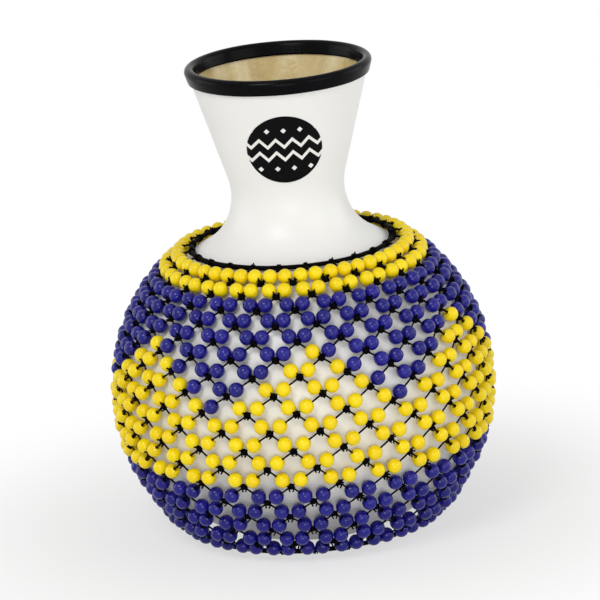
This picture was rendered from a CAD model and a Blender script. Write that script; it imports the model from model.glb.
import math
import random

import bpy
import numpy as np
from mathutils import Matrix, Vector


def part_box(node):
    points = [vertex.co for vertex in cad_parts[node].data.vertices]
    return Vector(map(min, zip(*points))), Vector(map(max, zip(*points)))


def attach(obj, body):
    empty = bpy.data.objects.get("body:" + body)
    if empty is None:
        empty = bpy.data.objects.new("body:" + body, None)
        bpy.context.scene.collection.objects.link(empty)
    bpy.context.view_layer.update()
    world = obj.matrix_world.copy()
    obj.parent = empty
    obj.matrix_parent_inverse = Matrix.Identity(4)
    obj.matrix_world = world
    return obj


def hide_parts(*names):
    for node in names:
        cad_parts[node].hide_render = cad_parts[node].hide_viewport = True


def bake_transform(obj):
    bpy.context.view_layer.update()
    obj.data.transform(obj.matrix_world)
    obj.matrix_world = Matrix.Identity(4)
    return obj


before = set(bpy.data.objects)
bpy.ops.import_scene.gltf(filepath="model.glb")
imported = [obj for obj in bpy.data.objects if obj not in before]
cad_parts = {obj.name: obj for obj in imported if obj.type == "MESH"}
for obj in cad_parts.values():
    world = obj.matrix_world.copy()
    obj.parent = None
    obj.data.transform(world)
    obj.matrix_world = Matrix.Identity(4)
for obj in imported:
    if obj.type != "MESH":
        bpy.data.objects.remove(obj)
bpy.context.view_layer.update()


# Shell.
# The body is one moulded piece of glass fibre: a round belly, a narrow neck and a flared mouth.
# The outside has a glossy white gelcoat, and the inside is left raw and tan.

shell_steps = 160
belly_height_share = 0.3
weld_gap = 1e-6
outline_gap = 2e-6
cloudy_white = (0.790, 0.785, 0.755)
clear_white = (0.825, 0.820, 0.795)
resin_tones = [
    (0.30, (0.50, 0.37, 0.13)),
    (0.48, (0.68, 0.53, 0.23)),
    (0.58, (0.80, 0.68, 0.38)),
    (0.68, (0.90, 0.84, 0.62)),
]


def select_only(*pieces):
    """Selects these pieces and nothing else, with the first one active."""
    bpy.ops.object.select_all(action="DESELECT")
    for piece in pieces:
        piece.select_set(True)
    bpy.context.view_layer.objects.active = pieces[0]


def copy_of(node, name):
    """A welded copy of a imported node, free of its body."""
    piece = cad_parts[node].copy()
    piece.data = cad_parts[node].data.copy()
    piece.parent = None
    for key in list(piece.keys()):
        del piece[key]
    piece.name = piece.data.name = name
    bpy.context.scene.collection.objects.link(piece)
    piece.data.materials.clear()
    select_only(piece)
    bpy.ops.object.mode_set(mode="EDIT")
    bpy.ops.mesh.select_all(action="SELECT")
    bpy.ops.mesh.remove_doubles(threshold=weld_gap)
    bpy.ops.mesh.select_all(action="DESELECT")
    bpy.ops.object.mode_set(mode="OBJECT")
    return piece


def smooth_below(degrees):
    """Shades the active piece smooth over its edges that are less sharp than this."""
    bpy.ops.object.shade_smooth_by_angle(angle=math.radians(degrees))


def turn_again(node, name, steps, closed_base=False):
    """Keeps the outline that a packed round node starts from, and turns it again in even steps."""
    piece = copy_of(node, name)
    for vertex in piece.data.vertices:
        vertex.select = abs(vertex.co.y) > outline_gap or vertex.co.x < -outline_gap
    bpy.ops.object.mode_set(mode="EDIT")
    bpy.ops.mesh.delete(type="VERT")
    bpy.ops.mesh.select_all(action="SELECT")
    bpy.ops.mesh.spin(steps=steps, angle=math.tau, center=(0, 0, 0), axis=(0, 0, 1))
    bpy.ops.mesh.select_all(action="SELECT")
    bpy.ops.mesh.remove_doubles(threshold=weld_gap)
    if closed_base:
        any_size = 0
        bpy.ops.mesh.fill_holes(sides=any_size)
    bpy.ops.mesh.select_all(action="SELECT")
    bpy.ops.mesh.normals_make_consistent(inside=False)
    bpy.ops.object.mode_set(mode="OBJECT")
    smooth_below(35)
    return piece


def sideways(place):
    """The level part of a place, seen from the shell's axis."""
    return Vector((place.x, place.y, 0))


def new_material(name):
    """An empty Principled material with its node tree, its shader and its Object coordinates."""
    material = bpy.data.materials.new(name)
    material.use_nodes = True
    tree = material.node_tree
    place = tree.nodes.new("ShaderNodeTexCoord")
    return material, tree, tree.nodes["Principled BSDF"], place.outputs["Object"]


def set_inputs(node, values):
    for name, value in values.items():
        node.inputs[name].default_value = value


def add_math(tree, operation, first, second=0.0):
    """The result of a Math node on two values, each a number or another node's output."""
    node = tree.nodes.new("ShaderNodeMath")
    node.operation = operation
    for socket, value in zip(node.inputs, (first, second)):
        if isinstance(value, (int, float)):
            socket.default_value = value
        else:
            tree.links.new(value, socket)
    return node.outputs[0]


def add_stretch(tree, where, scale):
    node = tree.nodes.new("ShaderNodeMapping")
    node.inputs["Scale"].default_value = scale
    tree.links.new(where, node.inputs["Vector"])
    return node.outputs["Vector"]


def add_noise(tree, where, scale, detail, distortion=0.0):
    node = tree.nodes.new("ShaderNodeTexNoise")
    set_inputs(node, {"Scale": scale, "Detail": detail, "Distortion": distortion})
    tree.links.new(where, node.inputs["Vector"])
    return node.outputs["Fac"]


def colour_by(tree, shader, value, stops):
    """Gives the shader its colour from a ramp through (position, colour) stops."""
    node = tree.nodes.new("ShaderNodeValToRGB")
    elements = node.color_ramp.elements
    while len(elements) < len(stops):
        elements.new(0.5)
    for element, (position, colour) in zip(elements, stops):
        element.position = position
        element.color = (*colour, 1.0)
    tree.links.new(value, node.inputs["Fac"])
    tree.links.new(node.outputs["Color"], shader.inputs["Base Color"])


def add_bump(tree, shader, height, distance, strength):
    node = tree.nodes.new("ShaderNodeBump")
    set_inputs(node, {"Distance": distance, "Strength": strength})
    tree.links.new(height, node.inputs["Height"])
    tree.links.new(node.outputs["Normal"], shader.inputs["Normal"])


def handling_group():
    """Shared effect: patchy finger marks and fine dust, as a mask from 0 to 1."""
    group = bpy.data.node_groups.new("handling_marks", "ShaderNodeTree")
    group.interface.new_socket("Place", in_out="INPUT", socket_type="NodeSocketVector")
    group.interface.new_socket("Patch Scale", in_out="INPUT", socket_type="NodeSocketFloat")
    group.interface.new_socket("Speck Scale", in_out="INPUT", socket_type="NodeSocketFloat")
    group.interface.new_socket("Marks", in_out="OUTPUT", socket_type="NodeSocketFloat")
    start = group.nodes.new("NodeGroupInput")
    end = group.nodes.new("NodeGroupOutput")
    masks = []
    for scale, detail in (("Patch Scale", 4.0), ("Speck Scale", 2.0)):
        noise = group.nodes.new("ShaderNodeTexNoise")
        noise.inputs["Detail"].default_value = detail
        group.links.new(start.outputs["Place"], noise.inputs["Vector"])
        group.links.new(start.outputs[scale], noise.inputs["Scale"])
        masks.append(noise.outputs["Fac"])
    group.links.new(add_math(group, "MULTIPLY", *masks), end.inputs["Marks"])
    return group


handling_marks = handling_group()


def add_marks(tree, where, patches, specks):
    node = tree.nodes.new("ShaderNodeGroup")
    node.node_tree = handling_marks
    set_inputs(node, {"Patch Scale": patches, "Speck Scale": specks})
    tree.links.new(where, node.inputs["Place"])
    return node.outputs["Marks"]


def rough_between(tree, shader, marks, low, high):
    """Roughness from low where the surface is clean to high where it is marked."""
    clean, marked = 0.12, 0.42
    node = tree.nodes.new("ShaderNodeMapRange")
    set_inputs(node, {"From Min": clean, "From Max": marked, "To Min": low, "To Max": high})
    tree.links.new(marks, node.inputs["Value"])
    tree.links.new(node.outputs["Result"], shader.inputs["Roughness"])


def gelcoat():
    material, tree, shader, where = new_material("gelcoat_white")
    clouds = add_noise(tree, where, scale=9.0, detail=2.0)
    colour_by(tree, shader, clouds, [(0.3, cloudy_white), (0.7, clear_white)])
    marks = add_marks(tree, where, patches=8.0, specks=60.0)
    rough_between(tree, shader, marks, low=0.36, high=0.42)
    ripple = add_noise(tree, where, scale=9.0, detail=0.0)
    add_bump(tree, shader, ripple, distance=0.002, strength=0.05)
    set_inputs(shader, {"Specular IOR Level": 0.3, "Coat Weight": 0.06, "Coat Roughness": 0.2})
    return material


def raw_fibre():
    material, tree, shader, where = new_material("raw_glass_fibre")
    strands = tree.nodes.new("ShaderNodeTexVoronoi")
    strands.feature = "DISTANCE_TO_EDGE"
    strands.inputs["Scale"].default_value = 150.0
    tree.links.new(where, strands.inputs["Vector"])
    runs = add_stretch(tree, where, scale=(1.0, 1.0, 0.22))
    resin = add_noise(tree, runs, scale=30.0, detail=6.0, distortion=0.8)
    colour_by(tree, shader, resin, resin_tones)
    add_bump(tree, shader, strands.outputs["Distance"], distance=0.0008, strength=0.5)
    marks = add_marks(tree, where, patches=30.0, specks=300.0)
    rough_between(tree, shader, marks, low=0.22, high=0.45)
    set_inputs(shader, {"Coat Weight": 0.5, "Coat Roughness": 0.18})
    return material


shell = turn_again("shell", "moulded_shell", shell_steps, closed_base=True)
shell.data.materials.append(gelcoat())
shell.data.materials.append(raw_fibre())
belly_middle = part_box("shell")[1].z * belly_height_share
for face in shell.data.polygons:
    outwards = sideways(face.center) + Vector((0, 0, min(face.center.z - belly_middle, 0)))
    face.material_index = 1 if face.normal.dot(outwards) < 0 else 0
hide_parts("shell")
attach(shell, "shell")


# Mouth trim.
# A black rubber edging with a slot is pressed over the raw edge of the mouth.
# It is extruded in one length, so its face has faint lines along it and a satin sheen.

trim_steps = 144
mouth_flare = math.radians(16)
lip_height = 0.003
lip_raise = 0.0015
lip_rounding = 0.0009
trim_unevenness = 0.0006
wander_size = 0.06
clean_rubber = (0.0010, 0.0010, 0.0014)
dusty_rubber = (0.003, 0.0028, 0.004)


def trim_rubber():
    material, tree, shader, where = new_material("trim_rubber")
    drawn = add_stretch(tree, where, scale=(0.15, 0.15, 3.0))
    lines = add_noise(tree, drawn, scale=420.0, detail=2.0)
    dust = add_marks(tree, where, patches=24.0, specks=500.0)
    colour_by(tree, shader, dust, [(0.15, clean_rubber), (0.5, dusty_rubber)])
    rough_between(tree, shader, dust, low=0.16, high=0.30)
    add_bump(tree, shader, lines, distance=0.0003, strength=0.3)
    set_inputs(shader, {"Specular IOR Level": 0.055})
    return material


wander = bpy.data.textures.new("edging_wander", "CLOUDS")
wander.noise_scale = wander_size


def make_uneven(piece, strength):
    """Moves the active piece's surface in and out a little, as work by hand leaves it."""
    uneven = piece.modifiers.new("made_by_hand", "DISPLACE")
    uneven.texture = wander
    uneven.strength = strength
    uneven.mid_level = 0.5
    uneven.texture_coords = "LOCAL"
    bpy.ops.object.modifier_apply(modifier=uneven.name)


trim = turn_again("mouth_trim", "rubber_edging", trim_steps)
lip_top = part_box("mouth_trim")[0].z + lip_height
for vertex in trim.data.vertices:
    if vertex.co.z < lip_top:
        spread = sideways(vertex.co).normalized() * math.sin(mouth_flare)
        vertex.co += lip_raise * (spread + Vector((0, 0, math.cos(mouth_flare))))
select_only(trim)
soften = trim.modifiers.new("rounded_lips", "BEVEL")
soften.width = lip_rounding
soften.segments = 3
soften.limit_method = "ANGLE"
bpy.ops.object.modifier_apply(modifier=soften.name)
make_uneven(trim, trim_unevenness)
smooth_below(40)
trim.data.materials.append(trim_rubber())
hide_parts("mouth_trim")
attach(trim, "shell")


# Badge.
# A thin round vinyl sticker follows the flare of the neck at the front.
# It is printed black, with a white zigzag band and small diamonds above and below it.

badge_low, badge_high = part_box("badge")
badge_radius = (badge_high.x - badge_low.x) / 2
badge_middle = (badge_low + badge_high) / 2
badge_lean = math.acos(min((badge_high.z - badge_low.z) / 2 / badge_radius, 1))
badge_sides = 96
badge_rings = 6
ahead_of_neck = 0.01
glue_gap = 0.0003
vinyl_thickness = 0.00027
printed_black = (0.003, 0.003, 0.0035, 1)
bare_white = (0.78, 0.77, 0.74, 1)
zigzag_period = badge_radius * 0.44
zigzag_line = badge_radius * 0.055
zigzag_offset = zigzag_period * 0.42
diamond_offset = zigzag_period * 1.25
diamond_size = zigzag_period * 0.17
left_of_badge = zigzag_period * 10


def badge_print():
    material, tree, shader, where = new_material("badge_vinyl")
    parts = tree.nodes.new("ShaderNodeSeparateXYZ")
    tree.links.new(where, parts.inputs[0])

    def work_out(operation, first, second=0.0):
        return add_math(tree, operation, first, second)

    def swing(shift):
        """Rises and falls between 0 and half a period across the badge."""
        shifted = work_out("ADD", parts.outputs["X"], left_of_badge + shift)
        return work_out("PINGPONG", shifted, zigzag_period / 2)

    upward = work_out("SUBTRACT", parts.outputs["Z"], badge_middle.z)
    wave = work_out("SUBTRACT", swing(0.0), zigzag_period / 4)
    ink = 0.0
    for offset in (zigzag_offset, -zigzag_offset):
        height = work_out("SUBTRACT", upward, offset)
        beside_line = work_out("ABSOLUTE", work_out("SUBTRACT", height, wave))
        ink = work_out("MAXIMUM", work_out("LESS_THAN", beside_line, zigzag_line), ink)
    for offset, shift in ((diamond_offset, 0.0), (-diamond_offset, zigzag_period / 2)):
        beside = work_out("ABSOLUTE", work_out("SUBTRACT", upward, offset))
        from_centre = work_out("ADD", swing(shift), beside)
        ink = work_out("MAXIMUM", work_out("LESS_THAN", from_centre, diamond_size), ink)
    mix = tree.nodes.new("ShaderNodeMix")
    mix.data_type = "RGBA"
    set_inputs(mix, {"A": printed_black, "B": bare_white})
    tree.links.new(ink, mix.inputs["Factor"])
    tree.links.new(mix.outputs["Result"], shader.inputs["Base Color"])
    marks = add_marks(tree, where, patches=40.0, specks=400.0)
    rough_between(tree, shader, marks, low=0.30, high=0.42)
    set_inputs(shader, {"Specular IOR Level": 0.05})
    return material


bpy.ops.object.select_all(action="DESELECT")
bpy.ops.mesh.primitive_circle_add(
    vertices=badge_sides,
    radius=badge_radius,
    fill_type="NGON",
    location=(0, badge_low.y - ahead_of_neck, badge_middle.z),
    rotation=(math.radians(90) + badge_lean, 0, 0),
)
badge = bpy.context.object
badge.name = badge.data.name = "neck_badge"
bpy.ops.object.transform_apply(location=True, rotation=True)
bpy.ops.object.mode_set(mode="EDIT")
bpy.ops.mesh.select_all(action="SELECT")
for _ in range(badge_rings):
    bpy.ops.mesh.inset(thickness=badge_radius / (badge_rings + 1), use_even_offset=False)
bpy.ops.mesh.select_all(action="SELECT")
bpy.ops.object.mode_set(mode="OBJECT")
laid_on = badge.modifiers.new("laid_on_the_neck", "SHRINKWRAP")
laid_on.target = shell
laid_on.wrap_method = "PROJECT"
laid_on.use_project_y = True
laid_on.use_positive_direction = True
laid_on.offset = glue_gap
bpy.ops.object.modifier_apply(modifier=laid_on.name)
sheet = badge.modifiers.new("sheet", "SOLIDIFY")
sheet.thickness = vinyl_thickness
sheet.offset = -1
bpy.ops.object.modifier_apply(modifier=sheet.name)
smooth_below(35)
badge.data.materials.append(badge_print())
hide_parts("badge")
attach(badge, "shell")


# Beads.
# Round beads of glossy moulded plastic, each with a straight hole for the netting cord.
# Yellow and violet blue ones are threaded in bands, with a zigzag edge between them.

bore_share = 0.29
smallest_share = 1.015
largest_share = 1.04
deep_yellow = (0.83, 0.605, 0.001)
pale_yellow = (0.88, 0.675, 0.002)
deep_blue = (0.007, 0.006, 0.155)
pale_blue = (0.013, 0.010, 0.220)
chance = random.Random(7)


def remove(piece):
    mesh = piece.data
    bpy.data.objects.remove(piece)
    bpy.data.meshes.remove(mesh)


def solids_of(node):
    """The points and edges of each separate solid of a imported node."""
    copy_of(node, "loose_solids")
    bpy.ops.object.mode_set(mode="EDIT")
    bpy.ops.mesh.select_all(action="SELECT")
    bpy.ops.mesh.separate(type="LOOSE")
    bpy.ops.object.mode_set(mode="OBJECT")
    found = []
    for part in list(bpy.context.selected_objects):
        points = np.array([vertex.co[:] for vertex in part.data.vertices])
        edges = np.array([edge.vertices[:] for edge in part.data.edges])
        found.append((points, edges))
        remove(part)
    return found


def middle_of(points):
    return (points.min(0) + points.max(0)) / 2


def bead_places(node):
    """Centre, upward hole direction and radius of each packed bead, from the edges along its hole."""
    hole_share = 0.5
    level_edge = 1e-9
    places = []
    for points, edges in solids_of(node):
        centre = middle_of(points)
        radius = np.linalg.norm(points - centre, axis=1).max()
        ends = points[edges]
        in_hole = np.linalg.norm(ends.mean(1) - centre, axis=1) < radius * hole_share
        along = (ends[:, 1] - ends[:, 0])[in_hole]
        along *= np.sign(along[:, 2:3] + level_edge)
        places.append((Vector(centre), Vector(along.sum(0)).normalized(), radius))
    return places


def numbered(prefix):
    """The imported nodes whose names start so, by their row number."""
    return {int(name[-2:]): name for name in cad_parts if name.startswith(prefix)}


def join(pieces):
    """Makes one piece of several, in the place of the first."""
    select_only(*pieces)
    bpy.ops.object.join()


def finish_in(piece, material):
    piece.data.materials.clear()
    piece.data.materials.append(material)


def spread_copies(template, matrices, name):
    """One piece that holds a copy of the template's mesh at each matrix, each with its own tone."""
    copies = []
    for matrix in matrices:
        mesh = template.data.copy()
        mesh.transform(matrix)
        tone = chance.random()
        mesh.attributes["tone"].data.foreach_set("value", [tone] * len(mesh.vertices))
        piece = bpy.data.objects.new(name, mesh)
        bpy.context.scene.collection.objects.link(piece)
        copies.append(piece)
    join(copies)
    copies[0].name = copies[0].data.name = name
    return copies[0]


def bead_shape(radius, bore):
    """A round bead along Z with an open hole and slightly rounded lips."""
    sides = 16
    rings = 10
    pole_height = radius * 0.999
    ring_slack = radius * 0.02
    lip_spread = 1.16
    lip_sink = 0.985
    hole_sink = 0.93
    bpy.ops.mesh.primitive_uv_sphere_add(segments=sides, ring_count=rings, radius=radius)
    bead = bpy.context.object
    bpy.ops.object.mode_set(mode="EDIT")
    bpy.ops.mesh.select_all(action="DESELECT")
    bpy.ops.object.mode_set(mode="OBJECT")
    for vertex in bead.data.vertices:
        vertex.select = abs(vertex.co.z) > pole_height
    bpy.ops.object.mode_set(mode="EDIT")
    bpy.ops.mesh.delete(type="VERT")
    bpy.ops.object.mode_set(mode="OBJECT")
    lip = math.sqrt(radius ** 2 - bore ** 2)
    first_ring = math.sin(math.pi / rings) * radius
    for vertex in bead.data.vertices:
        vertex.select = abs(math.hypot(vertex.co.x, vertex.co.y) - first_ring) < ring_slack
        if vertex.select:
            level = sideways(vertex.co).normalized() * bore * lip_spread
            vertex.co = (level.x, level.y, math.copysign(lip * lip_sink, vertex.co.z))
    bpy.ops.object.mode_set(mode="EDIT")
    bpy.ops.mesh.select_mode(type="EDGE")
    bpy.ops.mesh.select_non_manifold()
    bpy.ops.mesh.extrude_region()
    bpy.ops.transform.resize(value=(1 / lip_spread, 1 / lip_spread, hole_sink))
    bpy.ops.mesh.bridge_edge_loops()
    bpy.ops.mesh.select_mode(type="VERT")
    bpy.ops.mesh.select_all(action="SELECT")
    bpy.ops.mesh.normals_make_consistent(inside=False)
    bpy.ops.object.mode_set(mode="OBJECT")
    smooth_below(50)
    bead.data.attributes.new("tone", "FLOAT", "POINT")
    return bead


def bead_plastic(name, dark, light):
    """Glossy plastic that differs a little from bead to bead."""
    material, tree, shader, where = new_material(name)
    tone = tree.nodes.new("ShaderNodeAttribute")
    tone.attribute_name = "tone"
    colour_by(tree, shader, tone.outputs["Fac"], [(0.0, dark), (1.0, light)])
    marks = add_marks(tree, where, patches=90.0, specks=900.0)
    rough_between(tree, shader, marks, low=0.16, high=0.28)
    grain = add_noise(tree, where, scale=1400.0, detail=2.0)
    add_bump(tree, shader, grain, distance=0.00006, strength=0.35)
    set_inputs(shader, {"Specular IOR Level": 0.26})
    return material


bead_colours = {
    "yellow": bead_plastic("bead_yellow", deep_yellow, pale_yellow),
    "blue": bead_plastic("bead_blue", deep_blue, pale_blue),
}
beads_by_row = {}
bead_model = None
for colour, plastic in bead_colours.items():
    for row, node in sorted(numbered(colour + "_beads_").items()):
        places = bead_places(node)
        beads_by_row.setdefault(row, []).extend(places)
        if bead_model is None:
            bead_radius = places[0][2]
            bead_model = bead_shape(bead_radius, bead_radius * bore_share)
        matrices = []
        for centre, along, _ in places:
            roll = Matrix.Rotation(chance.uniform(0, math.tau), 4, "Z")
            size = Matrix.Scale(chance.uniform(smallest_share, largest_share), 4)
            turn = along.to_track_quat("Z", "Y").to_matrix().to_4x4()
            matrices.append(Matrix.Translation(centre) @ turn @ roll @ size)
        beads = spread_copies(bead_model, matrices, f"{colour}_bead_row_{row:02d}")
        finish_in(beads, plastic)
        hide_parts(node)
        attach(beads, "skirt")
remove(bead_model)


# Net.
# A twisted, waxed black cord is knotted into a net: from each knot two strands rise through
# a bead each to the knots of the course above. The knots are small and hard, with cut stubs.

strand_thickness = 0.0012
strand_sag = 0.0002
middle_share = 0.5
bend_share = 0.42
straight_share = 0.9
knot_size = 0.0051
knot_twist = 0.35
clean_cord = (0.0015, 0.0012, 0.0012)
worn_cord = (0.005, 0.004, 0.0035)


def net_cord():
    material, tree, shader, where = new_material("net_cord")
    fibres = add_noise(tree, where, scale=1500.0, detail=3.0, distortion=0.4)
    wear = add_marks(tree, where, patches=60.0, specks=700.0)
    colour_by(tree, shader, wear, [(0.15, clean_cord), (0.55, worn_cord)])
    rough_between(tree, shader, wear, low=0.45, high=0.7)
    add_bump(tree, shader, fibres, distance=0.0002, strength=0.6)
    set_inputs(shader, {"Specular IOR Level": 0.02})
    return material


cord_finish = net_cord()


def around(place):
    """The angle of a place around the axis, from the front."""
    return math.atan2(place.x, -place.y)


def crossing(first, second):
    """Nearest point between two beads' hole lines, and how far along the first it is."""
    (a, u, _), (b, v, _) = first, second
    gap = b - a
    uv = u.dot(v)
    level = 1 - uv * uv
    s = (gap.dot(u) - gap.dot(v) * uv) / level
    t = (gap.dot(u) * uv - gap.dot(v)) / level
    return (a + u * s + b + v * t) / 2, s


def strands_through(beads):
    """The knots under a row of beads, the meetings above it and the route through each bead."""
    knots = []
    lower, upper = {}, {}
    for number in range(len(beads)):
        other = (number + 1) % len(beads)
        meeting, distance = crossing(beads[number], beads[other])
        if distance < 0:
            lower[number] = lower[other] = meeting
            knots.append(meeting)
        else:
            upper[number] = upper[other] = meeting
    routes = []
    for number, (centre, _, _) in enumerate(beads):
        foot, top = lower[number], upper[number]
        sag = sideways(centre).normalized() * strand_sag
        bend = top.lerp(centre, bend_share) + sag
        half_way = foot.lerp(centre, middle_share) - sag
        routes.append([foot, half_way, centre, centre.lerp(bend, straight_share), bend, top])
    return knots, upper, routes


def cords_along(routes, thickness, name, roundness=1):
    """Round cords along lists of points, joined in one mesh that ends closed."""
    line = bpy.data.curves.new(name, "CURVE")
    line.dimensions = "3D"
    line.bevel_depth = thickness / 2
    line.bevel_resolution = roundness
    line.use_fill_caps = True
    line.resolution_u = 2
    for route in routes:
        spline = line.splines.new("BEZIER")
        spline.bezier_points.add(len(route) - 1)
        for point, place in zip(spline.bezier_points, route):
            point.co = place
            point.handle_left_type = point.handle_right_type = "AUTO"
    piece = bpy.data.objects.new(name, line)
    bpy.context.scene.collection.objects.link(piece)
    select_only(piece)
    bpy.ops.object.convert(target="MESH")
    smooth_below(60)
    return bpy.context.object


def tied_model(parts):
    """One model of several parts around the origin, ready to be spread as copies."""
    join(parts)
    bpy.ops.object.transform_apply(location=True, rotation=True, scale=True)
    smooth_below(60)
    parts[0].data.attributes.new("tone", "FLOAT", "POINT")
    return parts[0]


def knot_shape(size):
    """A hard knot: a lump with two wraps that cross over it and four short cut stubs."""
    lump_radius = size * 0.40
    wrap_radius = size * 0.34
    wrap_half_thickness = size * 0.15
    wrap_lean = 42
    stub_radius = size * 0.11
    stub_length = size * 0.66
    stub_aside = size * 0.28
    stub_ahead = size * 0.26
    stub_spread = 38
    stub_fan = 130
    stub_heights = ((-1, 0.30), (1, 0.22), (-1, -0.26), (1, -0.34))
    bpy.ops.mesh.primitive_uv_sphere_add(segments=8, ring_count=6, radius=lump_radius)
    parts = [bpy.context.object]
    for lean in (-wrap_lean, wrap_lean):
        bpy.ops.mesh.primitive_torus_add(
            major_radius=wrap_radius,
            minor_radius=wrap_half_thickness,
            major_segments=10,
            minor_segments=5,
            rotation=(math.radians(90), math.radians(lean), 0),
        )
        parts.append(bpy.context.object)
    for side, upward in stub_heights:
        bpy.ops.mesh.primitive_cylinder_add(
            vertices=5,
            radius=stub_radius,
            depth=stub_length,
            location=(side * stub_aside, -stub_ahead, upward * size),
            rotation=(math.radians(90 - upward * stub_fan), math.radians(side * stub_spread), 0),
        )
        parts.append(bpy.context.object)
    return tied_model(parts)


def facing_out(place, tilt=0.0):
    """Turns a piece modelled towards the front so that it faces away from the axis at a place."""
    turn = Matrix.Rotation(around(place), 4, "Z")
    return Matrix.Translation(place) @ turn @ Matrix.Rotation(tilt, 4, "X")


knot_model = knot_shape(knot_size)
rows = sorted(beads_by_row)
upper_ends = {}
for row in rows:
    beads = sorted(beads_by_row[row], key=lambda bead: around(bead[0]))
    knots, upper_ends[row], routes = strands_through(beads)
    course = cords_along(routes, strand_thickness, f"net_course_{row:02d}_cord")
    if row != rows[-1]:
        turned = []
        for knot in knots:
            tilt = math.atan2(knot.z - belly_middle, math.hypot(knot.x, knot.y))
            twist = Matrix.Rotation(chance.uniform(-knot_twist, knot_twist), 4, "Y")
            turned.append(facing_out(knot, -tilt) @ twist)
        join([course, spread_copies(knot_model, turned, "tied_knots")])
    finish_in(course, cord_finish)
    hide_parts(f"net_course_{row:02d}")
    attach(course, "skirt")
remove(knot_model)


# Collar.
# A thicker black cord is tied into a loop that rests on the shoulder. The net hangs from it
# by one wrapped hitch at each top knot, and the tie of the loop is a bunch of wraps and cut ends.

loop_steps = 192
loop_unevenness = 0.0008
hitch_thickness = 0.0010
hitch_wraps = 3
hitch_tilt = 0.5
wrap_tilt = 7
tie_spacing = 0.0024
tie_fan = 120
tail_thickness = 0.0018
drop_spacing_share = 0.55
drop_bend_share = 0.6
drop_lift = 0.0003


def ring_of(node):
    """Radius, height and thickness of a packed cord loop."""
    low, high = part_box(node)
    thickness = high.z - low.z
    return (high.x - low.x - thickness) / 2, (high.z + low.z) / 2, thickness


def loop_cord(node, name):
    """A round cord loop with a little hand-made unevenness."""
    radius, height, thickness = ring_of(node)
    bpy.ops.mesh.primitive_torus_add(
        major_radius=radius,
        minor_radius=thickness / 2,
        major_segments=loop_steps,
        minor_segments=10,
        location=(0, 0, height),
    )
    loop = bpy.context.object
    loop.name = loop.data.name = name
    bpy.ops.object.transform_apply(location=True)
    make_uneven(loop, loop_unevenness)
    smooth_below(60)
    finish_in(loop, cord_finish)
    return loop


def hitch_shape(inner, wraps, thickness):
    """A few turns of netting cord side by side around a cord along X, with one cut end."""
    wrap_radius = inner + thickness * 0.42
    wrap_spacing = thickness * 0.95
    end_radius = thickness * 0.45
    end_length = thickness * 2.4
    end_place = (thickness * 0.3, -inner * 0.5, inner + thickness * 0.5)
    end_lean = (math.radians(20), math.radians(15), 0)
    parts = []
    for number in range(wraps):
        bpy.ops.mesh.primitive_torus_add(
            major_radius=wrap_radius,
            minor_radius=thickness / 2,
            major_segments=12,
            minor_segments=6,
            location=((number - (wraps - 1) / 2) * wrap_spacing, 0, 0),
            rotation=(0, math.radians(90 + chance.uniform(-wrap_tilt, wrap_tilt)), 0),
        )
        parts.append(bpy.context.object)
    bpy.ops.mesh.primitive_cylinder_add(
        vertices=6,
        radius=end_radius,
        depth=end_length,
        location=end_place,
        rotation=end_lean,
    )
    parts.append(bpy.context.object)
    return tied_model(parts)


collar = loop_cord("collar_cord", "collar_loop")
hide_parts("collar_cord")
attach(collar, "collar")

collar_radius, collar_height, collar_thickness = ring_of("collar_cord")
hitch_model = hitch_shape(collar_thickness / 2, hitch_wraps, hitch_thickness)


def hitches_on(node, name):
    """A wrapped hitch at the place of each packed one."""
    spots = [Vector(middle_of(points)) for points, _ in solids_of(node)]
    turned = [facing_out(spot, chance.uniform(-hitch_tilt, hitch_tilt)) for spot in spots]
    hitches = spread_copies(hitch_model, turned, name)
    finish_in(hitches, cord_finish)
    return hitches, spots


collar_hitches, collar_spots = hitches_on("collar_hitches", "collar_wraps")
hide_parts("collar_hitches")
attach(collar_hitches, "collar")

tie_low, tie_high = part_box("collar_tie")
tie_middle = Vector(((tie_low.x + tie_high.x) / 2, (tie_low.y + tie_high.y) / 2, 0))
tie_spot = tie_middle.normalized() * collar_radius
tie_spot.z = collar_height
tie_frame = facing_out(tie_spot)
tie_turns = []
for step in (-tie_spacing, 0.0, tie_spacing):
    fan = Matrix.Rotation(step * tie_fan, 4, "Z")
    tie_turns.append(tie_frame @ Matrix.Translation((step, 0, 0)) @ fan)
tie_wraps = spread_copies(hitch_model, tie_turns, "tie_wraps")
tail_top = tie_high.z - collar_height
tails = []
for side in (-1, 1):
    route = [
        Vector((side * 0.0010, 0.0004, 0.0014)),
        Vector((side * 0.0020, 0.0008, tail_top * 0.46)),
        Vector((side * 0.0038, 0.0012, tail_top * 0.60)),
        Vector((side * 0.0058, 0.0010, tail_top * 0.52)),
    ]
    tails.append([tie_frame @ point for point in route])
tie = cords_along(tails, tail_thickness, "collar_tie_cord", roundness=2)
join([tie, tie_wraps])
finish_in(tie, cord_finish)
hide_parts("collar_tie")
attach(tie, "collar")

tops = {tuple(round(part, 6) for part in top): top for top in upper_ends[rows[0]].values()}
drops = []
for foot in tops.values():
    spot = min(collar_spots, key=lambda place: (place - foot).length)
    across = Vector((spot.y, -spot.x, 0)).normalized()
    for side in (-1, 1):
        shift = across * side * strand_thickness * drop_spacing_share
        bend = spot.lerp(foot, drop_bend_share) + shift + Vector((0, 0, drop_lift))
        drops.append([spot + shift, bend, foot])
drop_cords = cords_along(drops, strand_thickness, "drop_strands")
finish_in(drop_cords, cord_finish)
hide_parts("drop_cords")
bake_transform(drop_cords)


# Base cord.
# The hem of the net is gathered on a second loop, which lies just behind the last beads.
# Each last knot is a hitch around it, cut short.

base = loop_cord("base_cord", "base_loop")
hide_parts("base_cord")
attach(base, "skirt")
base_hitches, _ = hitches_on("base_hitches", "base_wraps")
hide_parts("base_hitches")
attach(base_hitches, "skirt")
remove(hitch_model)


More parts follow.
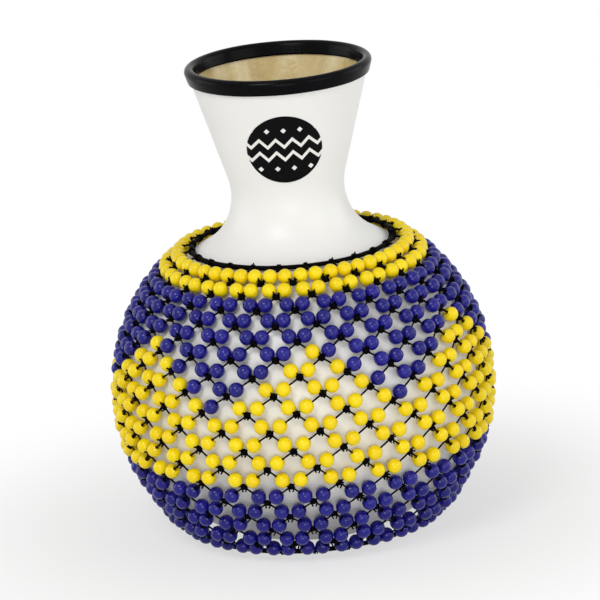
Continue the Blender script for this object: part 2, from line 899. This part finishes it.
# Studio.
# A plain pale floor under the base, a white surround, and large soft lamps on every side.
# The lamps point at the belly, and the floor keeps the object's shadow.

white_light = (1, 1, 1, 1)
pale_grey = (0.80, 0.80, 0.80, 1)
floor_size = 6
fade_start = 0.12
fade_end = 0.34
least_fade = 0.6
ambient_strength = 0.345
lit_height = 0.13


def white_rays(tree):
    """1 for the rays that show the white background: camera, glossy and transmitted ones."""
    path = tree.nodes.new("ShaderNodeLightPath")
    found = path.outputs["Is Camera Ray"]
    for kind in ("Is Glossy Ray", "Is Transmission Ray"):
        found = add_math(tree, "MAXIMUM", found, path.outputs[kind])
    return found


def mix_shaders(tree, factor, first, second, end):
    """Sends the first shader to the output where the factor is 0, and the second where it is 1."""
    mix = tree.nodes.new("ShaderNodeMixShader")
    tree.links.new(factor, mix.inputs["Fac"])
    tree.links.new(first.outputs[0], mix.inputs[1])
    tree.links.new(second.outputs[0], mix.inputs[2])
    tree.links.new(mix.outputs[0], end.inputs["Surface"])


def pale_floor():
    """A diffuse floor that the camera sees fade into plain white away from the object."""
    material = bpy.data.materials.new("pale_floor")
    material.use_nodes = True
    tree = material.node_tree
    tree.nodes.clear()
    diffuse = tree.nodes.new("ShaderNodeBsdfDiffuse")
    set_inputs(diffuse, {"Color": pale_grey})
    glow = tree.nodes.new("ShaderNodeEmission")
    place = tree.nodes.new("ShaderNodeTexCoord")
    away = tree.nodes.new("ShaderNodeVectorMath")
    away.operation = "LENGTH"
    tree.links.new(place.outputs["Object"], away.inputs[0])
    fade = tree.nodes.new("ShaderNodeMapRange")
    fade.interpolation_type = "SMOOTHSTEP"
    set_inputs(fade, {"From Min": fade_start, "From Max": fade_end, "To Min": least_fade})
    tree.links.new(away.outputs["Value"], fade.inputs["Value"])
    seen = add_math(tree, "MULTIPLY", fade.outputs["Result"], white_rays(tree))
    mix_shaders(tree, seen, diffuse, glow, tree.nodes.new("ShaderNodeOutputMaterial"))
    return material


bpy.ops.mesh.primitive_plane_add(size=floor_size, location=(0, 0, 0))
floor = bpy.context.object
floor.name = "floor"
floor.data.materials.append(pale_floor())

world = bpy.data.worlds.new("studio")
bpy.context.scene.world = world
world.use_nodes = True
sky = world.node_tree
ambient = sky.nodes["Background"]
set_inputs(ambient, {"Color": white_light, "Strength": ambient_strength})
backdrop = sky.nodes.new("ShaderNodeBackground")
set_inputs(backdrop, {"Color": white_light, "Strength": 1.0})
mix_shaders(sky, white_rays(sky), ambient, backdrop, sky.nodes["World Output"])


def soft_lamp(name, place, size, power):
    """A square area lamp that points at the belly."""
    data = bpy.data.lights.new(name, "AREA")
    data.size = size
    data.energy = power
    lamp = bpy.data.objects.new(name, data)
    bpy.context.scene.collection.objects.link(lamp)
    lamp.location = place
    towards_belly = Vector((0, 0, lit_height)) - Vector(place)
    lamp.rotation_euler = towards_belly.to_track_quat("-Z", "Y").to_euler()


soft_lamp("key_left", (-0.5, -1.1, 1.3), size=0.6, power=10.4)
soft_lamp("fill_right", (1.1, -0.9, 0.6), size=0.9, power=3.8)
soft_lamp("top", (0.0, 0.1, 1.5), size=0.9, power=0.8)
soft_lamp("low_front", (0.1, -1.4, 0.12), size=0.6, power=6.8)
soft_lamp("side_left", (-1.35, 0.25, 0.45), size=0.9, power=4.2)
soft_lamp("side_right", (1.35, 0.25, 0.45), size=0.9, power=4.2)


# Camera.
# It looks slightly down at the front from far off, and is rolled, so the instrument leans left
# in the picture. One millimetre at the aim is a fixed number of pixels in the 600 pixel frame.

picture = 600
pixels_per_mm = 1.515
mm_per_metre = 1000
distance = 3.0
elevation = math.radians(16.5)
lean_left = math.radians(4.6)
aim = Vector((0, 0, 0.102))
aim_pixel = (302.6, 372.6)
lens = bpy.data.cameras.new("camera")
camera = bpy.data.objects.new("camera", lens)
bpy.context.scene.collection.objects.link(camera)
bpy.context.scene.camera = camera
camera.location = aim + distance * Vector((0, -math.cos(elevation), math.sin(elevation)))
look = (aim - camera.location).to_track_quat("-Z", "Y").to_matrix()
camera.rotation_euler = (look @ Matrix.Rotation(-lean_left, 3, "Z")).to_euler()
lens.sensor_width = 36.0
lens.lens = pixels_per_mm * distance * mm_per_metre / picture * lens.sensor_width
lens.shift_x = (picture / 2 - aim_pixel[0]) / picture
lens.shift_y = (aim_pixel[1] - picture / 2) / picture
lens.clip_end = 50.0

bpy.context.scene.view_settings.view_transform = "Standard"
